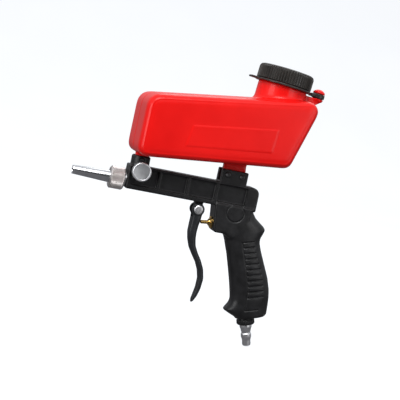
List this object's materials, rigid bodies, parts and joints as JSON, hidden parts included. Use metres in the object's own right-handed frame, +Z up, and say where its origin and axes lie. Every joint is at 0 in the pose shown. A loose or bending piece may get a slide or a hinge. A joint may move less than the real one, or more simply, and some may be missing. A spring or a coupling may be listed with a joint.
{
  "type": "gravity-feed blasting gun",
  "caption": "Hand-held air blasting gun with a slanted plastic hopper on top, knurled nozzle nut, flow knob, squeeze trigger and quick-connect air plug.",
  "frame": {"origin": "centre of the pistol grip, on the gun's middle plane, 144 mm behind the body's front face and 72 mm below the barrel axis", "axes": "+X along the barrel from the nozzle to the back of the gun, +Y away from the flow valve's knob, +Z up, square to the barrel"},
  "size_m": [0.2362, 0.074, 0.2863],
  "materials": {
    "red_plastic": "glossy blow-moulded polyethylene with a faint satin skin",
    "cap_plastic": "satin moulded plastic, warm near-black",
    "black_moulding": "fine-grained black glass-filled nylon",
    "trigger_moulding": "smooth satin black moulding",
    "rubber": "matt black nitrile",
    "satin_aluminium": "straight-knurled, satin turned aluminium",
    "polished_steel": "polished and plated steel",
    "turned_steel": "turned face with circular tool marks",
    "plated_steel": "zinc-plated steel",
    "brass": "machined brass"
  },
  "bodies": {
    "root": {"gun_body": "black_moulding", "hopper": "red_plastic", "tether_strap": "cap_plastic", "outlet_seal": "rubber", "hopper_set_screw": "plated_steel", "bracket_screw_front": "plated_steel", "bracket_screw_rear": "plated_steel", "barrel_insert": "plated_steel", "air_jet": "brass", "air_tube": "brass", "trigger_pin": "plated_steel", "trigger_pin_clip": "plated_steel", "packing_nut": "brass", "stem_packing": "rubber", "valve_seat": "brass", "valve_spring": "plated_steel", "inlet_ring_nut": "black_moulding", "inlet_plug": "plated_steel", "inlet_seal": "rubber"},
    "trigger": {"trigger": "trigger_moulding"},
    "air_valve": {"valve_stem": "brass", "valve_washer": "rubber"},
    "flow_valve": {"flow_valve_knob": "turned_steel", "flow_valve_spindle": "brass", "spindle_clip": "plated_steel"},
    "nozzle": {"nozzle": "polished_steel", "nozzle_seal": "rubber"},
    "nut": {"nozzle_nut": "satin_aluminium"},
    "cap_ring": {"tether_ring": "cap_plastic"},
    "cap": {"hopper_cap": "cap_plastic", "cap_gasket": "rubber"}
  },
  "joints": [
    {"name": "trigger_squeeze", "type": "hinge", "parent": "root", "child": "trigger", "pos_m": [-0.0666, 0, 0.0563], "axis": [0, -1, 0], "range_deg": [0, 16], "stiffness_Nm_per_rad": 0.6, "springref_deg": -17.19},
    {"name": "valve_slide", "type": "slide", "parent": "root", "child": "air_valve", "axis": [0.9936, 0, 0.1132], "range_m": [0, 0.0034], "deforming": ["valve_spring"]},
    {"name": "flow_valve_turn", "type": "hinge", "parent": "root", "child": "flow_valve", "pos_m": [-0.1328, 0, 0.0835], "axis": [0, -1, 0], "range_deg": [0, 90]},
    {"name": "nozzle_slide", "type": "slide", "parent": "root", "child": "nozzle", "axis": [-1, 0, 0], "range_m": [0, 0.006]},
    {"name": "nut_turn", "type": "hinge", "parent": "nozzle", "child": "nut", "pos_m": [-0.144, 0, 0.072], "axis": [-1, 0, 0], "range_deg": [0, 1441]},
    {"name": "cap_lift", "type": "slide", "parent": "root", "child": "cap_ring", "axis": [0.0872, 0, 0.9962], "range_m": [0, 0.0075]},
    {"name": "cap_turn", "type": "hinge", "parent": "cap_ring", "child": "cap", "pos_m": [-0.0076, 0, 0.178], "axis": [0.0872, 0, 0.9962], "range_deg": [0, 541]}
  ],
  "couplings": [
    {"joint": "valve_slide", "follows": "trigger_squeeze", "m_per_rad": 0.0118},
    {"joint": "nut_turn", "follows": "nozzle_slide", "rad_per_m": 4188.8},
    {"joint": "cap_turn", "follows": "cap_lift", "rad_per_m": 1256.6}
  ]
}
